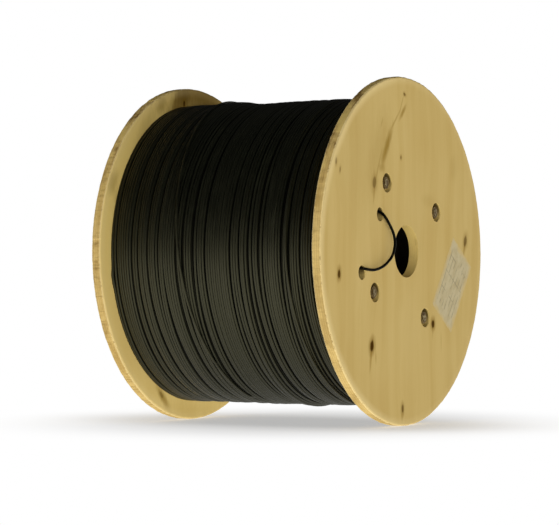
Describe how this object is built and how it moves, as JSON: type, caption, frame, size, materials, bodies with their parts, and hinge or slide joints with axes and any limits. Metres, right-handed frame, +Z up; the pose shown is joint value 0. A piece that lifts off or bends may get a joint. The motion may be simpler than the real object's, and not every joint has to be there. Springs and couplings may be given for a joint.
{
  "type": "cable drum",
  "caption": "Plywood cable drum with round flanges on a tube core, tie rods sunk in recesses, an arbor hole, and thin black cable wound on it with its inner end tucked through the face.",
  "frame": {"origin": "on the floor under the middle of the drum, which lies on the rims of its flanges", "axes": "+X along the drum's axis, towards the flange that the inner cable end comes out of; +Z up"},
  "size_m": [0.3085, 0.3999, 0.4],
  "materials": {
    "plywood": "bare, sanded plywood",
    "fibreboard": "matte",
    "cable": "black cable jacket, satin",
    "steel": "dull zinc-plated steel",
    "label": "thin blank paper label"
  },
  "bodies": {
    "root": {"near_flange": "plywood", "far_flange": "plywood", "core_tube": "fibreboard", "cable_winding": "cable", "cable_tail": "cable", "tie_rod_1": "steel", "tie_rod_2": "steel", "tie_rod_3": "steel", "tie_rod_4": "steel", "near_washer_1": "steel", "near_washer_2": "steel", "near_washer_3": "steel", "near_washer_4": "steel", "far_washer_1": "steel", "far_washer_2": "steel", "far_washer_3": "steel", "far_washer_4": "steel", "near_nut_1": "steel", "near_nut_2": "steel", "near_nut_3": "steel", "near_nut_4": "steel", "far_nut_1": "steel", "far_nut_2": "steel", "far_nut_3": "steel", "far_nut_4": "steel"}
  },
  "joints": []
}
